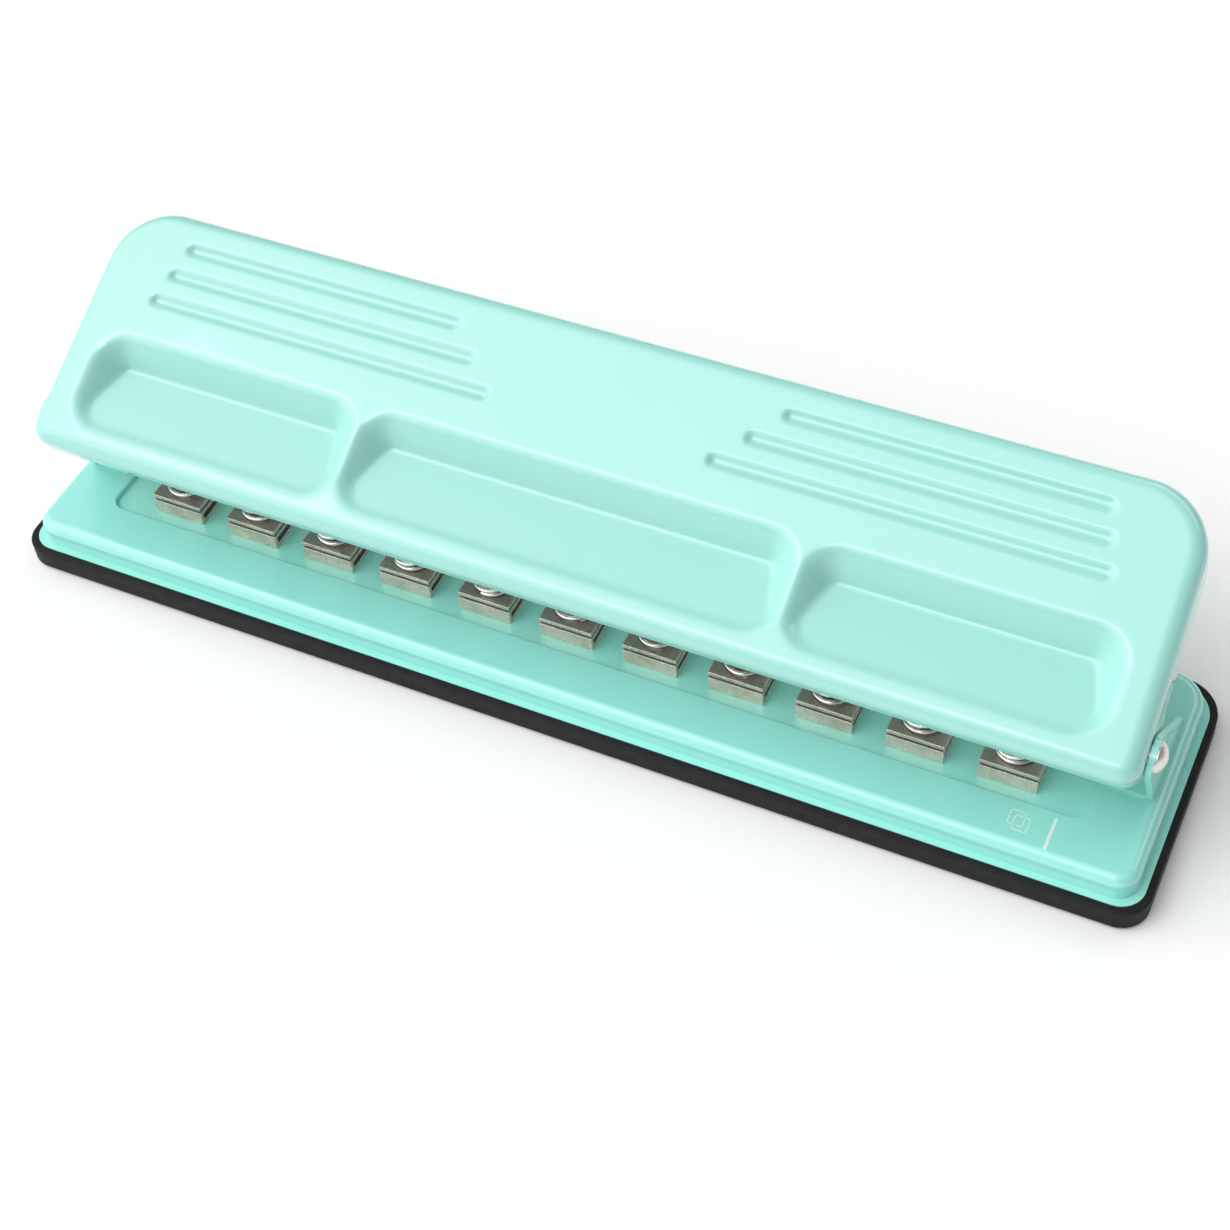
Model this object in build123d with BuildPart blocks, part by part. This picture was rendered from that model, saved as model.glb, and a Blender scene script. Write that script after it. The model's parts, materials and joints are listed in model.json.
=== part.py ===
"""Eleven-station punch for mushroom-shaped disc-binding holes, in millimetres.

The origin is the middle of the footprint, on the table. +X runs along the row of punches,
+Y points from the paper side to the back, and +Z points up.
"""
import math
import os

from build123d import *

# ---- driving dimensions -------------------------------------------------------------
STATIONS = 11
PITCH = 25.4  # standard distance between binding discs

TRAY_LENGTH = 341.2
TRAY_DEPTH = 80.0
TRAY_TOP = 7.5
TRAY_FLOOR = 1.2
TRAY_REBATE = 0.2  # room between the lip of the base plate and the tray's rim
TRAY_LEDGE = 1.6  # width of the ledge that carries that lip
TRAY_RIM_ROUND = 0.7
TRAY_BOTTOM_ROUND = 0.5
FOOT_HEIGHT = 0.8
FOOT_RADIUS = 6.5
FOOT_SPACING = (148.6, 56.0)
FRONT_RADIUS = 8.0  # corners of the footprint
BACK_RADIUS = 12.0
CORNER_SHARE = 0.5  # how far a corner radius shrinks for each millimetre of inset

SHEET = 1.2  # thickness of the pressed steel
DECK_TOP = 15.0
LIP_INSET = 2.0  # from the tray's outside to the lip of the base plate
WALL_INSET = 4.0  # from the tray's outside to the wall of the base plate
LIP_UNDERSIDE = 6.3
BED_TOP = 13.5
BED_HALF_LENGTH = 148.5
BED_FRONT = -21.2
BED_BACK = 9.0
BED_CORNER = 4.0
BED_RIM_REACH = 22.0  # the edges round the bed lie within this Y
BED_RIM_ROUND = 0.6
PAN_CLEARANCE = 0.2  # from the top of the bed pan's wall to the deck
DECK_ROUND = 3.0
CHIP_HOLE_RADIUS = 5.2  # through the bed, one under each die
CHIP_HOLE_STEP = 0.2  # smaller in the foot of the punch unit
SAME_PLACE = 0.01  # edges and corners closer than this are the same one

PIN_Y = -9.8
UNIT_WIDTH = 16.0
UNIT_FRONT = -17.0
UNIT_TAIL = 7.0
DIE_TOP = 18.2
GUIDE_TOP = 20.4
PAPER_STOP = -6.4
GUIDE_FIT = 0.05  # clearance round a pin in its guide and die
GUIDE_SETBACK = 0.1  # from the front face to the edge of the guide plate
FOLD_ROUND = 1.0
CAP_WIDTH = 6.4  # the wide end of the mushroom-shaped hole
CAP_DEPTH = 4.0
CAP_CORNER = 1.6
CAP_FORWARD = 1.8  # from the pin's line to the middle of the cap
STEM_WIDTH = 3.0  # its narrow end, towards the edge of the paper
STEM_DEPTH = 5.4
STEM_BACK = 1.5

PIN_TIP = 19.4
PIN_SHOULDER = 49.3
PIN_TOP = 53.0
WASHER = 0.8
WASHER_RADIUS = 6.2
PIN_NECK_RADIUS = 2.3
PIN_HEAD_RADIUS = 4.5
PIN_HEAD_ROUND = 1.5
SPRING_WIRE = 1.2
SPRING_RADIUS = 5.4  # to the middle of the wire
SPRING_TURNS = 6
SPRING_SEAT = 0.02  # gap at each end of a spring

PIVOT_Y = -18.3
PIVOT_Z = 45.3
PIVOT_RADIUS = 2.5
PIVOT_FIT = 0.05
PIVOT_HEAD = 4.2  # radius
PIVOT_CROWN = 2.6
PIVOT_TAIL = 3.6
PIVOT_TAIL_HEIGHT = 1.0
PIVOT_WASHER_INSIDE = 159.0  # nearest the middle, against the rivet's tail
PIVOT_WASHER = 0.5  # thickness
PIVOT_WASHER_RADIUS = 4.6
BRACKET_SHEET = 1.5
BRACKET_INSIDE = 161.5  # inner face of each upright
BRACKET_FOOT = 151.0  # inner edge of each foot
BRACKET_FRONT = -9.0  # of the foot and the upright, on the deck
BRACKET_BACK = 20.5
BRACKET_BEND = 1.3
BOSS_RADIUS = 5.2
BOSS_FRONT_TOUCH = (-0.9, -0.6)  # in boss radii, where the upright's edges meet the boss
BOSS_BACK_TOUCH = (0.72, 0.69)
STOP_RADIUS = 1.5  # lug pressed inwards from each upright
STOP_REACH = 8.5  # from the pivot to the lug
STOP_ANGLE = -40.0
STOP_HEIGHT = 2.1
STOP_SLACK = 1.0  # degrees left in the slot at each end of the travel
STOP_FIT = 0.15

LEVER_ANGLE = 27.0  # slope of the lever at rest
LEVER_SETBACK = 0.8  # of that line in front of the punch units
LEVER_HEIGHT = 57.0  # of its top face above the front of the punch units
LEVER_FRONT = -16.2  # along the slope, from that same line
LEVER_BACK = 59.6
LEVER_HALF_FRONT = 161.2
LEVER_HALF_BACK = 160.0
LEVER_CORNER = 18.5
LEVER_FRONT_CORNER = 3.0
LEVER_BEND = 4.5
LEVER_FLANGE = 17.0
LEVER_TRAVEL = 22.0  # degrees, from rest to fully pressed
LOBE_DEPTH = 22.0  # of the flange where it hangs on the pivot
LOBE_ROOT = (-8.0, 12.0, -15.0)  # where the lobe joins the flange: front, back, depth
LOBE_FOOT = (-5.0, 6.0)
LOBE_ROUND = 3.0
LOBE_INSET = 0.3
SKIRT_DEPTH = 8.9
SKIRT_SLANT = (3.0, 10.0)  # from the front edge: where the skirt ends and the side begins
REAR_FLANGE = 10.0
REAR_SLANT = (6.0, 22.0)  # the same, from the back edge
SIDE_REACH = 200.0  # beyond the end of the lever

POCKET_TOP = 19.6  # along the slope
POCKET_BOTTOM = -8.5
POCKET_DEPTH = 7.3
POCKET_CORNER = 9.5
POCKET_SHALLOW = 0.8
POCKET_TAPER = 45
POCKET_ENDS = ((-150.2, -65.7), (-64.3, 64.3), (65.7, 150.2))

GROOVE_WIDTH = 4.2
GROOVE_DEPTH = 1.2
GROOVE_TAPER = 40
GROOVE_UNDERSIDE = 0.5  # how much wider each groove is under the sheet
GROOVE_ROWS = ((49.3, 47.0, 136.0), (40.85, 39.3, 138.4), (32.4, 31.6, 140.8))

RIVET_SHANK = 1.5  # radius of the rivets in the sheet metal
RIVET_TAIL = 2.2
RIVET_TAIL_HEIGHT = 0.8
UNIT_RIVET_HEAD = 2.4
UNIT_RIVET_CROWN = 1.3
BRACKET_RIVET_HEAD = 2.6
BRACKET_RIVET_CROWN = 1.4
RIVET_EDGE_SHARE = 0.15  # of the crown that is straight, at the rim of a head
RIVET_Y = 3.0  # two rivets hold each punch unit
RIVET_SPACING = 9.0
BRACKET_RIVET_X = 156.0  # two rivets hold each bracket
BRACKET_RIVET_Y = (BRACKET_FRONT + BRACKET_BACK) / 2
BRACKET_RIVET_SPACING = 16.0

os.makedirs("parts", exist_ok=True)


def save(part, name):
    part.label = name
    export_step(part, f"parts/{name}.step")


def footprint(inset):
    """Rounded outline of the base, this far inside the tray's outside."""
    front = -TRAY_DEPTH / 2 + inset
    back = TRAY_DEPTH / 2 - inset
    with BuildSketch() as outline:
        with Locations((0, (front + back) / 2)):
            Rectangle(TRAY_LENGTH - 2 * inset, back - front)
        fillet(outline.vertices().group_by(Axis.Y)[0], FRONT_RADIUS - inset * CORNER_SHARE)
        fillet(outline.vertices().group_by(Axis.Y)[-1], BACK_RADIUS - inset * CORNER_SHARE)
    return outline.sketch


def station_x(number):
    """Place along the row of a station, counted from 1 at the left."""
    return (number - (STATIONS + 1) / 2) * PITCH


def mushroom(grow):
    """Section of a pin: a rounded cap towards the paper and a stem towards its edge."""
    with BuildSketch() as section:
        with Locations((0, PIN_Y - CAP_FORWARD)):
            RectangleRounded(CAP_WIDTH + 2 * grow, CAP_DEPTH + 2 * grow, CAP_CORNER + grow)
        with Locations((0, PIN_Y + STEM_BACK)):
            Rectangle(STEM_WIDTH + 2 * grow, STEM_DEPTH + 2 * grow)
    return section.sketch


# ---- chip tray and feet -------------------------------------------------------------
with BuildPart() as chip_tray:
    with BuildSketch(Plane.XY.offset(FOOT_HEIGHT)):
        add(footprint(0))
    extrude(amount=TRAY_TOP - FOOT_HEIGHT)
    fillet(chip_tray.faces().sort_by(Axis.Z)[-1].edges(), TRAY_RIM_ROUND)
    fillet(chip_tray.faces().sort_by(Axis.Z)[0].edges(), TRAY_BOTTOM_ROUND)
    with BuildSketch(Plane.XY.offset(LIP_UNDERSIDE)):
        add(footprint(LIP_INSET - TRAY_REBATE))
    extrude(amount=TRAY_TOP, mode=Mode.SUBTRACT)
    with BuildSketch(Plane.XY.offset(FOOT_HEIGHT + TRAY_FLOOR)):
        add(footprint(LIP_INSET + TRAY_LEDGE))
    extrude(amount=TRAY_TOP, mode=Mode.SUBTRACT)
save(chip_tray.part, "chip_tray")

with BuildPart() as rubber_feet:
    with BuildSketch():
        with GridLocations(*FOOT_SPACING, 3, 2):
            Circle(FOOT_RADIUS)
    extrude(amount=FOOT_HEIGHT)
save(rubber_feet.part, "rubber_feet")

# ---- base plate ---------------------------------------------------------------------
with BuildPart() as base_plate:
    with BuildSketch(Plane.XY.offset(LIP_UNDERSIDE)):
        add(footprint(WALL_INSET))
    extrude(amount=DECK_TOP - LIP_UNDERSIDE)
    fillet(base_plate.faces().sort_by(Axis.Z)[-1].edges(), DECK_ROUND)
    with BuildSketch(Plane.XY.offset(LIP_UNDERSIDE)):
        add(footprint(LIP_INSET))
    extrude(amount=SHEET)
    with BuildPart(mode=Mode.PRIVATE) as cavity:
        with BuildSketch(Plane.XY.offset(LIP_UNDERSIDE - 1)):
            add(footprint(WALL_INSET + SHEET))
        extrude(amount=DECK_TOP - SHEET - LIP_UNDERSIDE + 1)
        fillet(cavity.faces().sort_by(Axis.Z)[-1].edges(), DECK_ROUND - SHEET)
    add(cavity.part, mode=Mode.SUBTRACT)
    bed_depth = BED_BACK - BED_FRONT
    bed_middle = (BED_BACK + BED_FRONT) / 2
    with BuildSketch(Plane.XY.offset(BED_TOP - SHEET)):
        with Locations((0, bed_middle)):
            RectangleRounded(2 * (BED_HALF_LENGTH + SHEET), bed_depth + 2 * SHEET, BED_CORNER + SHEET)
    extrude(amount=DECK_TOP - BED_TOP + SHEET - PAN_CLEARANCE)
    with BuildSketch(Plane.XY.offset(BED_TOP)):
        with Locations((0, bed_middle)):
            RectangleRounded(2 * BED_HALF_LENGTH, bed_depth, BED_CORNER)
    extrude(amount=DECK_TOP, mode=Mode.SUBTRACT)
    rim = base_plate.edges().filter_by(lambda e: abs(e.center().Z - DECK_TOP) < SAME_PLACE)
    inner_rim = rim.filter_by(
        lambda e: abs(e.center().X) < BED_HALF_LENGTH + 0.5 and abs(e.center().Y) < BED_RIM_REACH
    )
    fillet(inner_rim, BED_RIM_ROUND)
    with BuildSketch(Plane.XY.offset(BED_TOP)):
        with Locations((0, PIN_Y)):
            with GridLocations(PITCH, 1, STATIONS, 1):
                Circle(CHIP_HOLE_RADIUS)
        with Locations((0, RIVET_Y)):
            with GridLocations(PITCH, 1, STATIONS, 1):
                with GridLocations(RIVET_SPACING, 1, 2, 1):
                    Circle(RIVET_SHANK)
    extrude(amount=-SHEET - 1, mode=Mode.SUBTRACT)
    with BuildSketch(Plane.XY.offset(DECK_TOP)):
        with Locations((0, BRACKET_RIVET_Y)):
            with GridLocations(2 * BRACKET_RIVET_X, BRACKET_RIVET_SPACING, 2, 2):
                Circle(RIVET_SHANK)
    extrude(amount=-SHEET - 1, mode=Mode.SUBTRACT)
save(base_plate.part, "base_plate")

# ---- pivot brackets, one drawn and the other mirrored -------------------------------
bracket_outside = BRACKET_INSIDE + BRACKET_SHEET
with BuildPart() as pivot_bracket:
    with BuildSketch(Plane.YZ.offset(BRACKET_INSIDE)):
        with BuildLine():
            Polyline(
                (BRACKET_FRONT, DECK_TOP),
                (PIVOT_Y + BOSS_RADIUS * BOSS_FRONT_TOUCH[0], PIVOT_Z + BOSS_RADIUS * BOSS_FRONT_TOUCH[1]),
                (PIVOT_Y, PIVOT_Z),
                (PIVOT_Y + BOSS_RADIUS * BOSS_BACK_TOUCH[0], PIVOT_Z + BOSS_RADIUS * BOSS_BACK_TOUCH[1]),
                (BRACKET_BACK, DECK_TOP),
                close=True,
            )
        make_face()
        with Locations((PIVOT_Y, PIVOT_Z)):
            Circle(BOSS_RADIUS)
            Circle(PIVOT_RADIUS, mode=Mode.SUBTRACT)
    extrude(amount=BRACKET_SHEET)
    with BuildSketch(Plane.YZ.offset(BRACKET_INSIDE)):
        with Locations((PIVOT_Y, PIVOT_Z)):
            with PolarLocations(STOP_REACH, 1, start_angle=STOP_ANGLE):
                Circle(STOP_RADIUS)
    extrude(amount=-STOP_HEIGHT)
    foot_width = bracket_outside - BRACKET_FOOT
    foot_depth = BRACKET_BACK - BRACKET_FRONT
    with BuildSketch(Plane.XY.offset(DECK_TOP)):
        with Locations((BRACKET_FOOT + foot_width / 2, (BRACKET_BACK + BRACKET_FRONT) / 2)):
            Rectangle(foot_width, foot_depth)
    extrude(amount=BRACKET_SHEET)
    outer_bend = pivot_bracket.edges().filter_by(Axis.Y)
    outer_bend = outer_bend.filter_by(lambda e: abs(e.center().Z - DECK_TOP) < SAME_PLACE)
    fillet(outer_bend.sort_by(Axis.X)[-1], BRACKET_BEND)
    with BuildSketch(Plane.XY.offset(DECK_TOP)):
        with Locations((0, BRACKET_RIVET_Y)):
            with GridLocations(2 * BRACKET_RIVET_X, BRACKET_RIVET_SPACING, 2, 2):
                Circle(RIVET_SHANK)
    extrude(amount=BRACKET_SHEET, mode=Mode.SUBTRACT)
save(pivot_bracket.part, "pivot_bracket_right")

with BuildPart() as pivot_bracket_left:
    add(pivot_bracket.part)
    mirror(about=Plane.YZ, mode=Mode.REPLACE)
save(pivot_bracket_left.part, "pivot_bracket_left")

# ---- rivets: brackets, punch units and pivots -----------------------------------------


def rivet_profile(shank, head, crown, grip, tail_radius, tail):
    """Half section of a set rivet on +Z, its head's underside at zero and its grip below."""
    edge = crown * RIVET_EDGE_SHARE
    rise = crown - edge
    dome_radius = (head**2 + rise**2) / (2 * rise)
    half_angle = math.asin(head / dome_radius) / 2
    dome_middle = (dome_radius * math.sin(half_angle), crown - dome_radius * (1 - math.cos(half_angle)))
    with BuildSketch(Plane.XZ) as profile:
        with BuildLine():
            Polyline(
                (0, crown),
                (0, -grip - tail),
                (tail_radius, -grip - tail),
                (tail_radius, -grip),
                (shank, -grip),
                (shank, 0),
                (head, 0),
                (head, edge),
            )
            ThreePointArc((head, edge), dome_middle, (0, crown))
        make_face()
    return profile.sketch


with BuildPart() as frame_rivets:
    with BuildPart(mode=Mode.PRIVATE) as one_unit_rivet:
        unit_rivet_sizes = (RIVET_SHANK, UNIT_RIVET_HEAD, UNIT_RIVET_CROWN, 2 * SHEET)
        add(rivet_profile(*unit_rivet_sizes, RIVET_TAIL, RIVET_TAIL_HEIGHT))
        revolve(axis=Axis.Z)
    for number in range(1, STATIONS + 1):
        for side in (-1, 1):
            with Locations((station_x(number) + side * RIVET_SPACING / 2, RIVET_Y, BED_TOP + SHEET)):
                add(one_unit_rivet.part)
save(frame_rivets.part, "frame_rivets")

with BuildPart() as bracket_rivets:
    with BuildPart(mode=Mode.PRIVATE) as one_bracket_rivet:
        bracket_rivet_sizes = (RIVET_SHANK, BRACKET_RIVET_HEAD, BRACKET_RIVET_CROWN, BRACKET_SHEET + SHEET)
        add(rivet_profile(*bracket_rivet_sizes, RIVET_TAIL, RIVET_TAIL_HEIGHT))
        revolve(axis=Axis.Z)
    for x in (-BRACKET_RIVET_X, BRACKET_RIVET_X):
        for step in (-0.5, 0.5):
            y = BRACKET_RIVET_Y + step * BRACKET_RIVET_SPACING
            with Locations((x, y, DECK_TOP + BRACKET_SHEET)):
                add(one_bracket_rivet.part)
save(bracket_rivets.part, "bracket_rivets")

pivot_grip = bracket_outside - PIVOT_WASHER_INSIDE
with BuildPart() as upright_rivet:
    add(rivet_profile(PIVOT_RADIUS, PIVOT_HEAD, PIVOT_CROWN, pivot_grip, PIVOT_TAIL, PIVOT_TAIL_HEIGHT))
    revolve(axis=Axis.Z)

for name, side in (("right", 1), ("left", -1)):
    seat = Plane((side * bracket_outside, PIVOT_Y, PIVOT_Z), x_dir=(0, 1, 0), z_dir=(side, 0, 0))
    with BuildPart() as pivot_rivet:
        with Locations(seat):
            add(upright_rivet.part)
    save(pivot_rivet.part, f"pivot_rivet_{name}")
    washer_seat = Plane((side * PIVOT_WASHER_INSIDE, PIVOT_Y, PIVOT_Z), x_dir=(0, 1, 0), z_dir=(side, 0, 0))
    with BuildPart() as pivot_washer:
        with BuildSketch(washer_seat):
            Circle(PIVOT_WASHER_RADIUS)
            Circle(PIVOT_RADIUS, mode=Mode.SUBTRACT)
        extrude(amount=PIVOT_WASHER)
    save(pivot_washer.part, f"pivot_washer_{name}")

# ---- punch units ----------------------------------------------------------------------
# One strip of steel, folded: foot on the bed, front face, die plate, paper stop, guide plate.
with BuildPart() as unit:
    with BuildSketch(Plane.YZ.offset(-UNIT_WIDTH / 2)) as folds:
        with BuildLine():
            Polyline(
                (UNIT_TAIL, BED_TOP),
                (UNIT_FRONT, BED_TOP),
                (UNIT_FRONT, DIE_TOP),
                (PAPER_STOP, DIE_TOP),
                (PAPER_STOP, GUIDE_TOP - SHEET),
                (UNIT_FRONT + GUIDE_SETBACK, GUIDE_TOP - SHEET),
                (UNIT_FRONT + GUIDE_SETBACK, GUIDE_TOP),
                (PAPER_STOP + SHEET, GUIDE_TOP),
                (PAPER_STOP + SHEET, DIE_TOP - SHEET),
                (UNIT_FRONT + SHEET, DIE_TOP - SHEET),
                (UNIT_FRONT + SHEET, BED_TOP + SHEET),
                (UNIT_TAIL, BED_TOP + SHEET),
                close=True,
            )
        make_face()
        outer_corners = folds.vertices().filter_by(
            lambda v: abs(v.Y - UNIT_FRONT) < SAME_PLACE or abs(v.Y - PAPER_STOP - SHEET) < SAME_PLACE
        )
        fillet(outer_corners, FOLD_ROUND)
    extrude(amount=UNIT_WIDTH)
    with BuildSketch(Plane.XY.offset(DIE_TOP - SHEET - 0.5)):
        add(mushroom(GUIDE_FIT))
    extrude(amount=GUIDE_TOP - DIE_TOP + SHEET + 1, mode=Mode.SUBTRACT)
    with BuildSketch(Plane.XY.offset(BED_TOP)):
        with Locations((0, PIN_Y)):
            Circle(CHIP_HOLE_RADIUS - CHIP_HOLE_STEP)
        with Locations((0, RIVET_Y)):
            with GridLocations(RIVET_SPACING, 1, 2, 1):
                Circle(RIVET_SHANK)
    extrude(amount=SHEET, mode=Mode.SUBTRACT)

# ---- pins, washers and springs ----------------------------------------------------------
with BuildPart() as pin:
    with BuildSketch(Plane.XY.offset(PIN_TIP)):
        add(mushroom(0))
    extrude(amount=PIN_SHOULDER - PIN_TIP)
    with BuildSketch(Plane.XY.offset(PIN_SHOULDER)):
        with Locations((0, PIN_Y)):
            Circle(PIN_NECK_RADIUS)
    extrude(amount=WASHER)
    with BuildSketch(Plane.XY.offset(PIN_SHOULDER + WASHER)):
        with Locations((0, PIN_Y)):
            Circle(PIN_HEAD_RADIUS)
    extrude(amount=PIN_TOP - PIN_SHOULDER - WASHER)
    fillet(pin.faces().sort_by(Axis.Z)[-1].edges(), PIN_HEAD_ROUND)

with BuildPart() as washer:
    with BuildSketch(Plane.XY.offset(PIN_SHOULDER)):
        with Locations((0, PIN_Y)):
            Circle(WASHER_RADIUS)
            Circle(PIN_NECK_RADIUS, mode=Mode.SUBTRACT)
    extrude(amount=WASHER)

spring_start = GUIDE_TOP + SPRING_WIRE / 2 + SPRING_SEAT
spring_rise = PIN_SHOULDER - SPRING_WIRE / 2 - SPRING_SEAT - spring_start
with BuildPart() as spring:
    with BuildLine(Plane((0, PIN_Y, spring_start))):
        coil = Helix(spring_rise / SPRING_TURNS, spring_rise, SPRING_RADIUS)
    with BuildSketch(Plane(coil @ 0, z_dir=coil % 0)):
        Circle(SPRING_WIRE / 2)
    sweep(is_frenet=True)

for number in range(1, STATIONS + 1):
    pieces = {"punch_frame": unit, "punch_pin": pin, "spring_washer": washer, "spring": spring}
    for name, pattern in pieces.items():
        with BuildPart() as placed:
            with Locations((station_x(number), 0, 0)):
                add(pattern.part)
        save(placed.part, f"{name}_{number}")

# ---- lever --------------------------------------------------------------------------------
lever_slope = math.radians(LEVER_ANGLE)
lever_origin = (0, UNIT_FRONT - LEVER_SETBACK, LEVER_HEIGHT)
lever_normal = (0, -math.sin(lever_slope), math.cos(lever_slope))
lever_plane = Plane(lever_origin, x_dir=(1, 0, 0), z_dir=lever_normal)
side_plane = Plane(lever_plane.origin - Vector(SIDE_REACH, 0, 0), x_dir=lever_plane.y_dir, z_dir=(1, 0, 0))


def lever_outline(inset):
    """Outline of the lever's face, wider at the front, this far inside its edge."""
    with BuildSketch() as outline:
        front = LEVER_FRONT + inset
        back = LEVER_BACK - inset
        with BuildLine():
            Polyline(
                (-LEVER_HALF_FRONT + inset, front),
                (LEVER_HALF_FRONT - inset, front),
                (LEVER_HALF_BACK - inset, back),
                (-LEVER_HALF_BACK + inset, back),
                close=True,
            )
        make_face()
        fillet(outline.vertices().group_by(Axis.Y)[-1], LEVER_CORNER - inset)
        fillet(outline.vertices().group_by(Axis.Y)[0], LEVER_FRONT_CORNER - inset)
    return outline.sketch


def pocket(start, end, grow):
    """Pressed pocket with walls at 45 degrees and a floor that runs out at the front."""
    rim_grow = grow * math.sqrt(2)
    tilt = math.degrees(math.atan2(POCKET_DEPTH - POCKET_SHALLOW, POCKET_TOP - POCKET_DEPTH - POCKET_BOTTOM))
    floor_edge = lever_plane.from_local_coords((0, POCKET_BOTTOM, -POCKET_SHALLOW))
    floor_normal = lever_plane.z_dir.rotate(Axis.X, -tilt)
    floor_plane = Plane(floor_edge - floor_normal * grow, x_dir=(1, 0, 0), z_dir=floor_normal)
    with BuildPart() as solid:
        with BuildSketch(lever_plane):
            with Locations(((start + end) / 2, (POCKET_TOP + POCKET_BOTTOM) / 2)):
                width = end - start + 2 * rim_grow
                height = POCKET_TOP - POCKET_BOTTOM + 2 * rim_grow
                RectangleRounded(width, height, POCKET_CORNER + rim_grow)
        extrude(amount=-POCKET_DEPTH - 2 * grow, taper=POCKET_TAPER)
        split(bisect_by=floor_plane, keep=Keep.TOP)
    return solid.part


def grooves(lower, grow):
    """The six pressed grooves, cut from the face or raised under the sheet."""
    with BuildPart() as solid:
        for along, inner, outer in GROOVE_ROWS:
            for side in (-1, 1):
                with BuildSketch(lever_plane.offset(-lower)):
                    with Locations((side * (inner + outer) / 2, along)):
                        SlotOverall(outer - inner + 2 * grow, GROOVE_WIDTH + 2 * grow)
                extrude(amount=-GROOVE_DEPTH, taper=GROOVE_TAPER)
    return solid.part


def stop_slot():
    """Curved slot round the pivot, drawn flat: the lug reaches its ends a little past the travel."""
    with BuildSketch() as slot:
        first = STOP_ANGLE - STOP_SLACK
        path = CenterArc((PIVOT_Y, PIVOT_Z), STOP_REACH, first, LEVER_TRAVEL + 2 * STOP_SLACK)
        SlotArc(path, 2 * STOP_RADIUS + 2 * STOP_FIT)
    return slot.sketch


normal = Axis(lever_plane.origin, lever_plane.z_dir)
with BuildPart() as lever:
    with BuildSketch(lever_plane):
        add(lever_outline(0))
    extrude(amount=-LEVER_FLANGE)
    fillet(lever.faces().sort_by(normal)[-1].edges(), LEVER_BEND)
    with BuildPart(mode=Mode.PRIVATE) as hollow:
        with BuildSketch(lever_plane.offset(-SHEET)):
            add(lever_outline(SHEET))
        extrude(amount=-LEVER_FLANGE)
        fillet(hollow.faces().sort_by(normal)[-1].edges(), LEVER_BEND - SHEET)
    add(hollow.part, mode=Mode.SUBTRACT)
    # the flange is lower at the front and at the back than along the sides
    with BuildSketch(side_plane):
        with BuildLine():
            Polyline(
                (LEVER_FRONT - 1, -SKIRT_DEPTH),
                (LEVER_FRONT + SKIRT_SLANT[0], -SKIRT_DEPTH),
                (LEVER_FRONT + SKIRT_SLANT[1], -LEVER_FLANGE - 1),
                (LEVER_FRONT - 1, -LEVER_FLANGE - 1),
                close=True,
            )
        make_face()
        with BuildLine():
            Polyline(
                (LEVER_BACK + 1, -REAR_FLANGE),
                (LEVER_BACK - REAR_SLANT[0], -REAR_FLANGE),
                (LEVER_BACK - REAR_SLANT[1], -LEVER_FLANGE - 1),
                (LEVER_BACK + 1, -LEVER_FLANGE - 1),
                close=True,
            )
        make_face()
    extrude(amount=2 * SIDE_REACH, mode=Mode.SUBTRACT)
    for start, end in POCKET_ENDS:
        add(pocket(start, end, SHEET))
    for start, end in POCKET_ENDS:
        add(pocket(start, end, 0), mode=Mode.SUBTRACT)
    add(grooves(SHEET, GROOVE_UNDERSIDE))
    add(grooves(0, 0), mode=Mode.SUBTRACT)
    # a lobe under each flange carries the slot that runs on the bracket's lug
    for side in (-1, 1):
        with BuildSketch(side_plane.offset(SIDE_REACH + side * (LEVER_HALF_FRONT - LOBE_INSET))):
            with BuildLine():
                Polyline(
                    (LOBE_ROOT[0], LOBE_ROOT[2]),
                    (LOBE_FOOT[0], -LOBE_DEPTH),
                    (LOBE_FOOT[1], -LOBE_DEPTH),
                    (LOBE_ROOT[1], LOBE_ROOT[2]),
                    close=True,
                )
            lobe = make_face()
            fillet(lobe.vertices().group_by(Axis.Y)[0], LOBE_ROUND)
        extrude(amount=-side * SHEET)
    with BuildSketch(Plane.YZ.offset(-LEVER_HALF_FRONT - 1)):
        with Locations((PIVOT_Y, PIVOT_Z)):
            Circle(PIVOT_RADIUS + PIVOT_FIT)
        add(stop_slot())
    extrude(amount=2 * LEVER_HALF_FRONT + 2, mode=Mode.SUBTRACT)
save(lever.part, "lever")
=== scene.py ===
"""Looks of an eleven-station disc punch: enamelled lever, sprung punches, plate and chip tray.

Lengths are written in millimetres and turned into metres by MM.
"""
import json
import math

import bpy
import numpy as np
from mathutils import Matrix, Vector


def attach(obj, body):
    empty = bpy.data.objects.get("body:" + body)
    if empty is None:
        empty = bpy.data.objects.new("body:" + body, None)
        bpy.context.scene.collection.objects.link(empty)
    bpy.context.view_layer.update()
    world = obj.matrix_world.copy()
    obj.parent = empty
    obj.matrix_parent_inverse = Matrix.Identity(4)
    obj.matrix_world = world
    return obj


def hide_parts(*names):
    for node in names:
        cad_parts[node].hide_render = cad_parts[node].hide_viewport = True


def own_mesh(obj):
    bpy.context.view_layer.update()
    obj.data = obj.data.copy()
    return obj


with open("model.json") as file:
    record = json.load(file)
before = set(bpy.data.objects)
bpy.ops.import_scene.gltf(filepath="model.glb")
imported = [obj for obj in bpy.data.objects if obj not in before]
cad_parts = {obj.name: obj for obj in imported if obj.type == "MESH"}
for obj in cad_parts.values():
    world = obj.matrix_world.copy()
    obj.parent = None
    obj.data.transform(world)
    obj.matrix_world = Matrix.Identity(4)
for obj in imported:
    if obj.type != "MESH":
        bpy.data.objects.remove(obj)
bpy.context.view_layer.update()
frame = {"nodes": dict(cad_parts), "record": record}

MM = 0.001
STATIONS = 11
PITCH = 25.4

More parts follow.
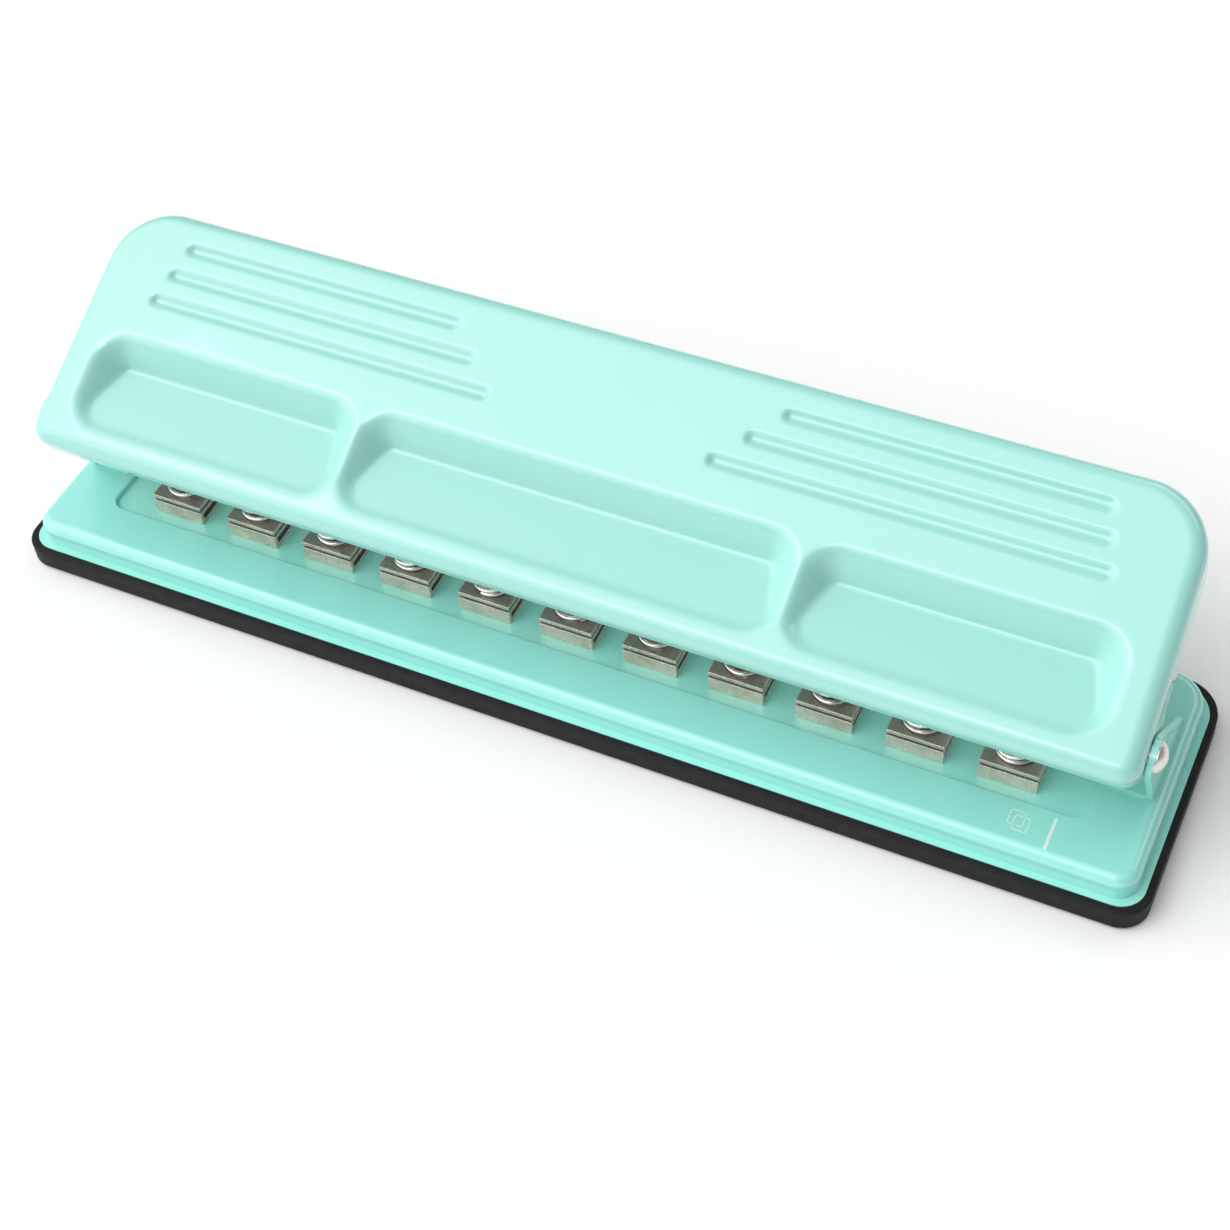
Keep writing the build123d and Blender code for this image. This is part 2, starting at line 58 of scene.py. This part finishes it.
# ---- sizes that the frame and its pieces share ----------------------------------------
SHEET = 1.2
DECK_TOP = 15.0
PIN_Y = -9.8
SPRING_BOTTOM = 20.4
SPRING_TOP = 49.3
SPRING_WIRE = 1.2
SPRING_RADIUS = 5.4
SPRING_GAP = 0.03  # between each end of a spring and its seat
SPRING_TWIST = 0.9  # radians that each spring is turned from the one before

LEVER_SLOPE = math.radians(27.0)
LEVER_ORIGIN = (0.0, -17.8, 57.0)
LEVER_FRONT = -16.2
LEVER_BACK = 59.6
LEVER_HALF_FRONT = 161.2
LEVER_HALF_BACK = 160.0
LEVER_BACK_CORNER = 18.5
LEVER_FRONT_CORNER = 5.5
LEVER_BEND = 4.5
# depth of the flange at distances along the slope: skirt, lobe round the hinge, side, rear
FLANGE_PROFILE = ((-16.2, 8.9), (-13.2, 8.9), (-7.4, 16.4), (-5.0, 22.0), (6.0, 22.0),
                  (10.3, 17.0), (39.6, 17.0), (53.6, 10.0), (59.6, 10.0))
FLANGE_SOFTNESS = 1.5

POCKET_TOP = 19.6
POCKET_BOTTOM = -8.5
POCKET_DEPTH = 7.3
POCKET_SHALLOW = 0.8
POCKET_CORNER = 9.5
POCKET_ENDS = ((-150.2, -65.7), (-64.3, 64.3), (65.7, 150.2))
RIM_SOFTNESS = 0.85
FLOOR_SOFTNESS = 0.45
GROOVE_WIDTH = 4.4
GROOVE_DEPTH = 1.2
GROOVE_STEEPNESS = 1.35  # more than 1 gives the groove a flat bottom
GROOVE_ROWS = ((49.3, 47.0, 136.0), (40.85, 39.3, 138.4), (32.4, 31.6, 140.8))

TICK_X = 142.2
TICK_FRONT = -33.6
TICK_BACK = -23.2
TICK_WIDTH = 0.8
SHEET_MARK = (134.4, -28.4)  # middle of the front sheet of the pictogram
SHEET_MARK_SHIFT = (-1.5, 1.4)
SHEET_MARK_SIZE = (4.0, 4.6)
SHEET_MARK_CORNER = 0.8
SHEET_MARK_LINE = 0.22

# ---- studio: places in metres, turns in degrees, power in watts and the lens in millimetres
LIGHT_TARGET = (0, 0, 0.04)
KEY_PLACE = (-0.45, -0.75, 1.30)
KEY_SIZE = (1.3, 0.35)
KEY_POWER = 4.6
RIM_PLACE = (0.50, 1.00, 0.90)
RIM_SIZE = (1.2, 0.40)
RIM_POWER = 2.5
STUDIO_BRIGHT = (-0.60, -0.35, 0.72)  # direction of the brightest part of the studio
STUDIO_DIM = 0.27
STUDIO_LIT = 2.35
STUDIO_FADE = (0.48, 1.05)  # where the light starts and stops rising, as a cosine
CAMERA_PLACE = (0.20342, -0.35291, 0.47968)
CAMERA_TURN = (40.561, 3.495, 25.067)
CAMERA_LENS = 64.37


# ---- material nodes ---------------------------------------------------------------------
class Nodes:
    """Builds one procedural material around a Principled shader."""

    def __init__(self, name, **sockets):
        self.material = bpy.data.materials.new(name)
        self.material.use_nodes = True
        self.tree = self.material.node_tree
        self.shader = self.tree.nodes["Principled BSDF"]
        for socket, value in sockets.items():
            self.shader.inputs[socket.replace("_", " ")].default_value = value
        self.place = self.add("ShaderNodeTexCoord").outputs["Object"]

    def add(self, kind, **settings):
        node = self.tree.nodes.new(kind)
        for key, value in settings.items():
            setattr(node, key, value)
        return node

    def link(self, output, target):
        self.tree.links.new(output, target)

    def noise(self, scale, detail=3.0, roughness=0.5, stretch=(1, 1, 1)):
        mapping = self.add("ShaderNodeMapping")
        mapping.inputs["Scale"].default_value = stretch
        self.link(self.place, mapping.inputs["Vector"])
        node = self.add("ShaderNodeTexNoise")
        node.inputs["Scale"].default_value = scale
        node.inputs["Detail"].default_value = detail
        node.inputs["Roughness"].default_value = roughness
        self.link(mapping.outputs["Vector"], node.inputs["Vector"])
        return node.outputs["Fac"]

    def ramp(self, factor, low, high, start=0.0, end=1.0):
        """Maps factor from start..end to low..high, clamped."""
        node = self.add("ShaderNodeMapRange")
        node.inputs["From Min"].default_value = start
        node.inputs["From Max"].default_value = end
        node.inputs["To Min"].default_value = low
        node.inputs["To Max"].default_value = high
        self.link(factor, node.inputs["Value"])
        return node.outputs["Result"]

    def multiply(self, first, second):
        node = self.add("ShaderNodeMath", operation="MULTIPLY")
        self.link(first, node.inputs[0])
        self.link(second, node.inputs[1])
        return node.outputs["Value"]

    def mix(self, factor, first, second):
        """Mixes two colours; each is a colour or a node's output."""
        node = self.add("ShaderNodeMix", data_type="RGBA")
        self.link(factor, node.inputs["Factor"])
        for value, socket in ((first, node.inputs[6]), (second, node.inputs[7])):
            if isinstance(value, bpy.types.NodeSocket):
                self.link(value, socket)
            else:
                socket.default_value = (*value, 1.0)
        return node.outputs[2]

    def edges(self, radius, soft=0.35):
        """1 along edges sharper than radius, 0 on open faces."""
        bevel = self.add("ShaderNodeBevel", samples=6)
        bevel.inputs["Radius"].default_value = radius
        geometry = self.add("ShaderNodeNewGeometry")
        dot = self.add("ShaderNodeVectorMath", operation="DOT_PRODUCT")
        self.link(bevel.outputs["Normal"], dot.inputs[0])
        self.link(geometry.outputs["Normal"], dot.inputs[1])
        return self.ramp(dot.outputs["Value"], 1.0, 0.0, 1.0 - soft, 0.995)

    def upward(self, start, end):
        """0 on walls and undersides, rising to 0.75 on faces that point up."""
        geometry = self.add("ShaderNodeNewGeometry")
        split = self.add("ShaderNodeSeparateXYZ")
        self.link(geometry.outputs["Normal"], split.inputs["Vector"])
        return self.ramp(split.outputs["Z"], 0.0, 0.75, start, end)

    def rounded(self, radius):
        """Normals that turn smoothly over each edge, so that a sheared edge catches the light."""
        bevel = self.add("ShaderNodeBevel", samples=6)
        bevel.inputs["Radius"].default_value = radius
        return bevel.outputs["Normal"]

    def bump(self, height, strength, distance, before=None):
        node = self.add("ShaderNodeBump")
        node.inputs["Strength"].default_value = strength
        node.inputs["Distance"].default_value = distance
        self.link(height, node.inputs["Height"])
        if before is not None:
            self.link(before, node.inputs["Normal"])
        return node.outputs["Normal"]

    def color(self, output):
        self.link(output, self.shader.inputs["Base Color"])

    def rough(self, output):
        self.link(output, self.shader.inputs["Roughness"])

    def normal(self, output):
        self.link(output, self.shader.inputs["Normal"])


def mint_enamel(name, thin, thick):
    """Baked gloss enamel: a slight orange peel, uneven tint, and paint drawn thin on edges."""
    n = Nodes(name, IOR=1.5, Coat_Weight=0.8, Coat_Roughness=0.06)
    cloud = n.ramp(n.noise(18.0, 2.0), 0.0, 1.0, 0.25, 0.75)
    tint = n.mix(cloud, thin, thick)
    worn = n.multiply(n.edges(0.5 * MM, 0.6), n.ramp(n.noise(420.0, 4.0), 0.0, 0.5, 0.40, 0.75))
    n.color(n.mix(worn, tint, (0.45, 0.86, 0.78)))
    n.rough(n.ramp(n.noise(24.0, 1.0), 0.22, 0.27))
    peel = n.bump(n.noise(520.0, 2.0), 0.06, 0.05 * MM)
    n.normal(n.bump(n.noise(60.0, 1.0), 0.02, 0.3 * MM, peel))
    return n.material


def frame_steel():
    """Rolled strip: streaks along the row, brown stains, darker tops and painted highlights on sheared
    edges.
    """
    n = Nodes("frame_steel", Metallic=0.5, Anisotropic=0.35)
    streak = n.noise(1.0, 4.0, 0.6, (160.0, 2600.0, 2600.0))
    stain = n.ramp(n.noise(150.0, 4.0, 0.55), 0.0, 0.6, 0.45, 0.75)
    speck = n.ramp(n.noise(700.0, 3.0, 0.6), 0.0, 0.8, 0.70, 0.78)
    brushed = n.mix(streak, (0.60, 0.52, 0.43), (0.86, 0.76, 0.64))
    dirty = n.mix(stain, brushed, (0.40, 0.31, 0.24))
    spotted = n.mix(speck, dirty, (0.10, 0.075, 0.06))
    # faces that point up are painted a darker grey, chosen only by the way each face points
    darker_on_top = n.mix(n.upward(0.6, 0.9), spotted, (0.20, 0.185, 0.155))
    # the sheared edges are painted near white: a painted highlight along each edge
    n.color(n.mix(n.edges(0.50 * MM, 0.25), darker_on_top, (0.98, 0.94, 0.88)))
    n.rough(n.ramp(n.noise(500.0, 3.0), 0.22, 0.40, 0.3, 0.7))
    n.normal(n.bump(streak, 0.25, 0.04 * MM, n.rounded(0.40 * MM)))
    return n.material


def drawn_wire():
    """Bright plated spring wire with faint die lines and grey patches."""
    n = Nodes("spring_steel", Metallic=1.0)
    patch = n.ramp(n.noise(260.0, 4.0), 0.0, 1.0, 0.45, 0.7)
    n.color(n.mix(patch, (0.92, 0.90, 0.88), (0.66, 0.62, 0.58)))
    n.rough(n.ramp(n.noise(700.0, 3.0), 0.14, 0.30, 0.3, 0.7))
    n.normal(n.bump(n.noise(1800.0, 2.0), 0.12, 0.02 * MM))
    return n.material


def turned_steel(name, light, dark, low, high):
    """Machined steel with scattered scratches and rubbed edges."""
    n = Nodes(name, Metallic=1.0)
    scratch = n.noise(1.0, 5.0, 0.7, (1500.0, 1500.0, 120.0))
    worn = n.mix(scratch, dark, light)
    n.color(n.mix(n.edges(0.4 * MM), worn, tuple(min(1.0, c * 1.15) for c in light)))
    n.rough(n.ramp(n.noise(600.0, 3.0), low, high, 0.3, 0.7))
    n.normal(n.bump(scratch, 0.15, 0.02 * MM))
    return n.material


def tray_plastic():
    """Moulded black plastic: fine spark grain, greyer where edges have been rubbed."""
    n = Nodes("tray_plastic", IOR=1.46, Specular_IOR_Level=0.28)
    shade = n.mix(n.noise(90.0, 3.0), (0.007, 0.007, 0.007), (0.013, 0.013, 0.013))
    rubbed = n.multiply(n.edges(0.8 * MM), n.ramp(n.noise(300.0, 4.0), 0.0, 1.0, 0.4, 0.7))
    n.color(n.mix(rubbed, shade, (0.045, 0.045, 0.044)))
    n.rough(n.ramp(n.noise(200.0, 3.0), 0.55, 0.70, 0.3, 0.7))
    n.normal(n.bump(n.noise(1600.0, 3.0), 0.30, 0.05 * MM))
    return n.material


def dull_polymer(name, light, dark, roughness, grain):
    """Rubber or nylon: mottled, dull and slightly pitted."""
    n = Nodes(name, IOR=1.5)
    n.color(n.mix(n.noise(350.0, 4.0), dark, light))
    n.rough(n.ramp(n.noise(500.0, 3.0), roughness - 0.08, roughness + 0.08, 0.3, 0.7))
    n.normal(n.bump(n.noise(grain, 3.0), 0.25, 0.05 * MM))
    return n.material


def pad_printing():
    """White pad-printed ink, slightly broken up."""
    n = Nodes("white_ink", IOR=1.45)
    n.color(n.mix(n.noise(1500.0, 3.0), (0.80, 0.86, 0.84), (0.95, 0.97, 0.96)))
    n.rough(n.ramp(n.noise(700.0, 2.0), 0.35, 0.55, 0.3, 0.7))
    n.normal(n.bump(n.noise(2200.0, 2.0), 0.15, 0.02 * MM))
    return n.material


def floor_paint():
    n = Nodes("floor_white", Specular_IOR_Level=0.2)
    n.color(n.mix(n.noise(3.0, 2.0), (0.97, 0.97, 0.97), (0.98, 0.98, 0.98)))
    n.rough(n.ramp(n.noise(40.0, 2.0), 0.65, 0.75, 0.3, 0.7))
    return n.material


LOOKS = {
    "mint_enamel": mint_enamel("mint_enamel", (0.330, 0.825, 0.735), (0.342, 0.838, 0.750)),
    "frame_steel": frame_steel(),
    "spring_steel": drawn_wire(),
    "pin_steel": turned_steel("pin_steel", (0.72, 0.71, 0.69), (0.52, 0.51, 0.49), 0.18, 0.32),
    "washer_steel": turned_steel("washer_steel", (0.80, 0.79, 0.77), (0.62, 0.61, 0.59), 0.22, 0.36),
    "rivet_steel": turned_steel("rivet_steel", (0.86, 0.82, 0.80), (0.74, 0.70, 0.68), 0.30, 0.42),
    "washer_nylon": dull_polymer("washer_nylon", (0.80, 0.79, 0.74), (0.70, 0.69, 0.64), 0.45, 900.0),
    "tray_plastic": tray_plastic(),
    "foot_rubber": dull_polymer("foot_rubber", (0.045, 0.045, 0.045), (0.022, 0.022, 0.022), 0.72, 1200.0),
}

# The lever gets its own copy of the same mint enamel, painted darker and greyer: painted shade for the
# lever's light
SHADED_LEVER_ENAMEL = mint_enamel("mint_enamel_lever_shaded", (0.352, 0.745, 0.664), (0.364, 0.757, 0.680))


# ---- meshes -------------------------------------------------------------------------------
def new_piece(name, points, faces, look):
    """A flat-shaded mesh object from points in millimetres."""
    mesh = bpy.data.meshes.new(name)
    mesh.from_pydata((np.asarray(points, float) * MM).tolist(), [], faces)
    mesh.update()
    mesh.materials.append(look)
    piece = bpy.data.objects.new(name, mesh)
    bpy.context.scene.collection.objects.link(piece)
    return piece


def apply_modifiers(piece):
    graph = bpy.context.evaluated_depsgraph_get()
    mesh = bpy.data.meshes.new_from_object(piece.evaluated_get(graph))
    piece.modifiers.clear()
    piece.data = mesh


def smooth_shading(piece, angle):
    piece.data.shade_smooth()
    piece.data.set_sharp_from_angle(angle=math.radians(angle))


def grid_faces(rows, columns, wrap=False, flip=False):
    """Quads over a rows x columns array of points; wrap joins the last column to the first."""
    faces = []
    for row in range(rows - 1):
        for column in range(columns if wrap else columns - 1):
            right = (column + 1) % columns
            face = (row * columns + column, row * columns + right,
                    (row + 1) * columns + right, (row + 1) * columns + column)
            faces.append(face[::-1] if flip else face)
    return faces


# ---- lever ----------------------------------------------------------------------------------
def smooth_max(a, b, softness):
    """The larger of two fields, rounded where they cross."""
    gap = np.clip(softness - np.abs(a - b) / 2, 0, None)
    return np.maximum(a, b) + gap**2 / (2 * softness)


def pocket_depth(x, s, start, end):
    """Depth of one pressed pocket: walls at 45 degrees and a floor that runs out at the front."""
    half_x = (end - start) / 2 - POCKET_CORNER
    half_s = (POCKET_TOP - POCKET_BOTTOM) / 2 - POCKET_CORNER
    qx = np.abs(x - (start + end) / 2) - half_x
    qs = np.abs(s - (POCKET_TOP + POCKET_BOTTOM) / 2) - half_s
    outside = np.hypot(np.clip(qx, 0, None), np.clip(qs, 0, None))
    wall = POCKET_CORNER - outside - np.clip(np.maximum(qx, qs), None, 0)
    run = (s - POCKET_BOTTOM) / (POCKET_TOP - POCKET_DEPTH - POCKET_BOTTOM)
    floor = POCKET_SHALLOW + run * (POCKET_DEPTH - POCKET_SHALLOW)
    inside = -smooth_max(-wall, -floor, FLOOR_SOFTNESS)
    return smooth_max(inside, 0 * inside, RIM_SOFTNESS)


def groove_depth(x, s, along, inner, outer):
    """Depth of one groove, round at its ends, with a soft rim."""
    reach = GROOVE_WIDTH / 2
    over = np.clip(np.maximum(inner + reach - x, x - outer + reach), 0, None)
    distance = np.hypot(over, s - along)
    rise = np.clip(1 - distance / reach, 0, 1)
    return GROOVE_DEPTH * (0.5 - 0.5 * np.cos(math.pi * np.clip(rise * GROOVE_STEEPNESS, 0, 1)))


def pressed_depth(x, s):
    """Depth of the face below flat, where pockets and grooves are pressed in."""
    depth = sum(pocket_depth(x, s, *ends) for ends in POCKET_ENDS)
    for along, inner, outer in GROOVE_ROWS:
        depth = depth + groove_depth(np.abs(x), s, along, inner, outer)
    return depth


def lever_space(x, s, height):
    """Points of the row frame from coordinates on the lever: across, up the slope, off its face."""
    y = LEVER_ORIGIN[1] + s * math.cos(LEVER_SLOPE) - height * math.sin(LEVER_SLOPE)
    z = LEVER_ORIGIN[2] + s * math.sin(LEVER_SLOPE) + height * math.cos(LEVER_SLOPE)
    return np.stack([x, y, z], axis=-1)


def lever_rows(front, back, front_corner, back_corner, step, front_points=5, back_points=26):
    """Where the rows of the face lie: evenly spaced, and closer round the corners."""
    turn_in = np.radians(np.linspace(0, 90, front_points))
    turn_out = np.radians(np.linspace(0, 90, back_points))
    flat = np.linspace(front + front_corner, back - back_corner,
                       round((back - back_corner - front - front_corner) / step))
    return np.concatenate([front + front_corner * (1 - np.cos(turn_in)), flat[1:-1],
                           back - back_corner + back_corner * np.sin(turn_out)])


def flange_depth(s):
    """Depth of the flange, its corners rounded."""
    along, depth = zip(*FLANGE_PROFILE)
    shifts = np.linspace(-FLANGE_SOFTNESS, FLANGE_SOFTNESS, 9)
    nearby = [np.interp(s + shift, along, depth) for shift in shifts]
    return np.mean(nearby, axis=0)


def build_lever(step=0.82, bend_points=8, wall_points=4):
    """The pressed face as a grid, its rim carried down round the bend into the flange."""
    front = LEVER_FRONT + LEVER_BEND
    back = LEVER_BACK - LEVER_BEND
    front_corner = LEVER_FRONT_CORNER - LEVER_BEND
    back_corner = LEVER_BACK_CORNER - LEVER_BEND
    rows = lever_rows(front, back, front_corner, back_corner, step)
    straight = np.interp(rows, (front, back), (LEVER_HALF_FRONT, LEVER_HALF_BACK)) - LEVER_BEND
    into_front = np.clip(front + front_corner - rows, 0, front_corner)
    into_back = np.clip(rows - back + back_corner, 0, back_corner)
    half = (straight - front_corner + np.sqrt(front_corner**2 - into_front**2)
            - back_corner + np.sqrt(back_corner**2 - into_back**2))
    columns = round(2 * LEVER_HALF_FRONT / step)
    across = np.linspace(-1, 1, columns)
    x = half[:, None] * across[None, :]
    s = np.repeat(rows[:, None], columns, axis=1)
    points = lever_space(x, s, -pressed_depth(x, s)).reshape(-1, 3)
    faces = grid_faces(len(rows), columns)

    # the rim of the grid, anticlockwise, with the direction that each point faces
    lean_s = into_back / back_corner - into_front / front_corner
    lean_x = np.sqrt(1 - lean_s**2)
    last = len(rows) - 1
    rim = [(0, c, 0.0, -1.0) for c in range(columns)]
    rim += [(r, columns - 1, lean_x[r], lean_s[r]) for r in range(1, last)]
    rim += [(last, c, 0.0, 1.0) for c in range(columns - 1, -1, -1)]
    rim += [(r, 0, -lean_x[r], lean_s[r]) for r in range(last - 1, 0, -1)]
    row, column = (np.array([entry[i] for entry in rim]) for i in (0, 1))
    out_x, out_s = (np.array([entry[i] for entry in rim]) for i in (2, 3))
    rim_x, rim_s = x[row, column], s[row, column]
    bottom = flange_depth(rim_s + LEVER_BEND * out_s)
    strips = []
    for turn in np.radians(np.linspace(0, 90, bend_points))[1:]:
        out = LEVER_BEND * math.sin(turn)
        down = LEVER_BEND * (1 - math.cos(turn))
        strips.append(lever_space(rim_x + out * out_x, rim_s + out * out_s, -down + 0 * rim_x))
    for share in np.linspace(0, 1, wall_points)[1:]:
        down = LEVER_BEND + share * (bottom - LEVER_BEND)
        strips.append(lever_space(rim_x + LEVER_BEND * out_x, rim_s + LEVER_BEND * out_s, -down))
    loop = len(rim)
    face_points = len(points)
    first = row * columns + column
    points = np.concatenate([points, *strips])
    loops = [first] + [face_points + k * loop + np.arange(loop) for k in range(len(strips))]
    for upper, lower in zip(loops, loops[1:]):
        for i in range(loop):
            j = (i + 1) % loop
            faces.append((int(upper[j]), int(upper[i]), int(lower[i]), int(lower[j])))
    lever = new_piece("lever_pressing", points, faces, SHADED_LEVER_ENAMEL)
    thick = lever.modifiers.new("sheet", "SOLIDIFY")
    thick.thickness = SHEET * MM
    thick.offset = -1
    thick.use_even_offset = True
    thick.use_quality_normals = True
    apply_modifiers(lever)
    smooth_shading(lever, 50)
    return lever


lever = build_lever()
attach(lever, "lever")
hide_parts("lever")


# ---- springs --------------------------------------------------------------------------------
def build_spring(number, sides=12, steps_per_turn=40, closed_turns=1.0, open_turns=5.0):
    """A compression spring with a closed coil at each end, sat on its guide plate."""
    x = (number - (STATIONS + 1) / 2) * PITCH
    low = SPRING_BOTTOM + SPRING_WIRE / 2 + SPRING_GAP
    high = SPRING_TOP - SPRING_WIRE / 2 - SPRING_GAP
    turns = open_turns + 2 * closed_turns
    count = round(turns * steps_per_turn)
    at = np.linspace(0, turns, count + 1)
    knots = (0, closed_turns, closed_turns + open_turns, turns)
    heights = (low, low + SPRING_WIRE * closed_turns, high - SPRING_WIRE * closed_turns, high)
    shifts = np.linspace(-0.2, 0.2, 9)
    soft = [np.interp(np.clip(at + shift, 0, turns), knots, heights) for shift in shifts]
    height = np.clip(np.mean(soft, axis=0), low, high)
    phase = number * SPRING_TWIST
    angle = 2 * math.pi * at + phase
    coil = (x + SPRING_RADIUS * np.cos(angle), PIN_Y + SPRING_RADIUS * np.sin(angle), height)
    centre = np.stack(coil, axis=-1)
    radial = np.stack([np.cos(angle), np.sin(angle), 0 * angle], axis=-1)
    turn = np.linspace(0, 2 * math.pi, sides, endpoint=False)
    ring = (np.cos(turn)[None, :, None] * radial[:, None, :]
            + np.sin(turn)[None, :, None] * np.array([0, 0, 1.0])[None, None, :])
    points = (centre[:, None, :] + SPRING_WIRE / 2 * ring).reshape(-1, 3)
    faces = grid_faces(count + 1, sides, wrap=True, flip=True)
    faces.append(tuple(range(sides)))
    faces.append(tuple(count * sides + i for i in reversed(range(sides))))
    spring = new_piece(f"coil_{number}", points, faces, LOOKS["spring_steel"])
    smooth_shading(spring, 60)
    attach(spring, f"punch_{number}")
    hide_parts(f"spring_{number}")
    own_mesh(spring)


for number in range(1, STATIONS + 1):
    build_spring(number)


# ---- print on the deck ------------------------------------------------------------------------
def print_strokes(strokes, look, film=0.03):
    """Thin raised ink along each stroke, a list of corners with a width, on the deck."""
    points, faces = [], []
    for corners, width, closed in strokes:
        path = np.array(corners, float)
        count = len(path)
        following = np.roll(path, -1, axis=0) - path
        if not closed:
            following[-1] = following[-2]
        leading = np.roll(following, 1, axis=0)
        if not closed:
            leading[0] = following[0]
        ahead = following / np.linalg.norm(following, axis=1)[:, None]
        behind = leading / np.linalg.norm(leading, axis=1)[:, None]
        middle = ahead + behind
        middle /= np.linalg.norm(middle, axis=1)[:, None]
        side = np.stack([-middle[:, 1], middle[:, 0]], axis=-1)
        stretch = 1 / np.clip(np.sum(middle * ahead, axis=1), 0.5, 1)
        side = side * (stretch * width / 2)[:, None]
        start = len(points)
        for i in range(count):
            left, right = path[i] + side[i], path[i] - side[i]
            for height in (DECK_TOP - film, DECK_TOP + film):
                points.append((*left, height))
                points.append((*right, height))
        for i in range(count if closed else count - 1):
            a, b = start + 4 * i, start + 4 * ((i + 1) % count)
            faces += [(a + 2, a + 3, b + 3, b + 2), (a + 1, a, b, b + 1),
                      (a, a + 2, b + 2, b), (a + 3, a + 1, b + 1, b + 3)]
        if not closed:
            end = start + 4 * (count - 1)
            faces += [(start, start + 1, start + 3, start + 2), (end + 1, end, end + 2, end + 3)]
    return new_piece("deck_print", points, faces, look)


def sheet_outline(x, y, width, height, corner, steps=4):
    """Corners of a rounded sheet of paper seen flat."""
    outline = []
    for cx, cy, start in ((1, 1, 0), (-1, 1, 90), (-1, -1, 180), (1, -1, 270)):
        for angle in np.radians(np.linspace(start, start + 90, steps)):
            outline.append((x + cx * (width / 2 - corner) + corner * math.cos(angle),
                            y + cy * (height / 2 - corner) + corner * math.sin(angle)))
    return outline


strokes = [([(TICK_X, TICK_FRONT), (TICK_X, TICK_BACK)], TICK_WIDTH, False)]
for sheet in range(2):
    mark = [at + sheet * shift for at, shift in zip(SHEET_MARK, SHEET_MARK_SHIFT)]
    outline = sheet_outline(*mark, *SHEET_MARK_SIZE, SHEET_MARK_CORNER)
    strokes.append((outline, SHEET_MARK_LINE, True))
deck_print = print_strokes(strokes, pad_printing())
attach(deck_print, "base")

# ---- materials of the pieces that keep their own shape ---------------------------------------
for entry in frame["record"]["subparts"]:
    node = frame["nodes"][entry["node"]]
    node.data.materials.clear()
    node.data.materials.append(LOOKS[entry["material_slot"]])

# ---- floor, light and camera -------------------------------------------------------------------
def build_floor(size=6000.0, cells=24):
    across = np.linspace(-size / 2, size / 2, cells + 1)
    x, y = np.meshgrid(across, across)
    points = np.stack([x, y, 0 * x], axis=-1).reshape(-1, 3)
    return new_piece("floor", points, grid_faces(cells + 1, cells + 1), floor_paint())


build_floor()


def soft_light(name, place, target, size, power):
    light = bpy.data.lights.new(name, "AREA")
    light.shape = "RECTANGLE"
    light.size, light.size_y = size
    light.energy = power
    lamp = bpy.data.objects.new(name, light)
    bpy.context.scene.collection.objects.link(lamp)
    lamp.location = place
    lamp.rotation_euler = (Vector(target) - Vector(place)).to_track_quat("-Z", "Y").to_euler()


soft_light("key", KEY_PLACE, LIGHT_TARGET, KEY_SIZE, KEY_POWER)
soft_light("rim", RIM_PLACE, LIGHT_TARGET, RIM_SIZE, RIM_POWER)


def studio_world(dim, bright):
    """White surroundings that light the object more from one side, and look plain white behind it."""
    world = bpy.data.worlds.new("studio")
    world.use_nodes = True
    tree = world.node_tree
    toward = tree.nodes.new("ShaderNodeVectorMath")
    toward.operation = "DOT_PRODUCT"
    toward.inputs[1].default_value = Vector(STUDIO_BRIGHT).normalized()
    level = tree.nodes.new("ShaderNodeMapRange")
    level.interpolation_type = "SMOOTHSTEP"
    level.inputs["From Min"].default_value = STUDIO_FADE[0]
    level.inputs["From Max"].default_value = STUDIO_FADE[1]
    level.inputs["To Min"].default_value = dim
    level.inputs["To Max"].default_value = bright
    background = tree.nodes["Background"]
    background.inputs["Color"].default_value = (1.0, 1.0, 1.0, 1.0)
    coordinates = tree.nodes.new("ShaderNodeTexCoord")
    tree.links.new(coordinates.outputs["Generated"], toward.inputs[0])
    tree.links.new(toward.outputs["Value"], level.inputs["Value"])
    seen = tree.nodes.new("ShaderNodeLightPath")
    backdrop = tree.nodes.new("ShaderNodeMix")
    backdrop.inputs["B"].default_value = 1.0
    tree.links.new(seen.outputs["Is Camera Ray"], backdrop.inputs["Factor"])
    tree.links.new(level.outputs["Result"], backdrop.inputs["A"])
    tree.links.new(backdrop.outputs["Result"], background.inputs["Strength"])
    return world


bpy.context.scene.world = studio_world(STUDIO_DIM, STUDIO_LIT)
bpy.context.scene.view_settings.view_transform = "Standard"

camera_data = bpy.data.cameras.new("camera")
camera_data.lens = CAMERA_LENS
camera_data.sensor_width = 36.0
camera_data.clip_start = 0.01
camera_data.clip_end = 20.0
camera = bpy.data.objects.new("camera", camera_data)
bpy.context.scene.collection.objects.link(camera)
camera.location = CAMERA_PLACE
camera.rotation_euler = [math.radians(angle) for angle in CAMERA_TURN]
bpy.context.scene.camera = camera
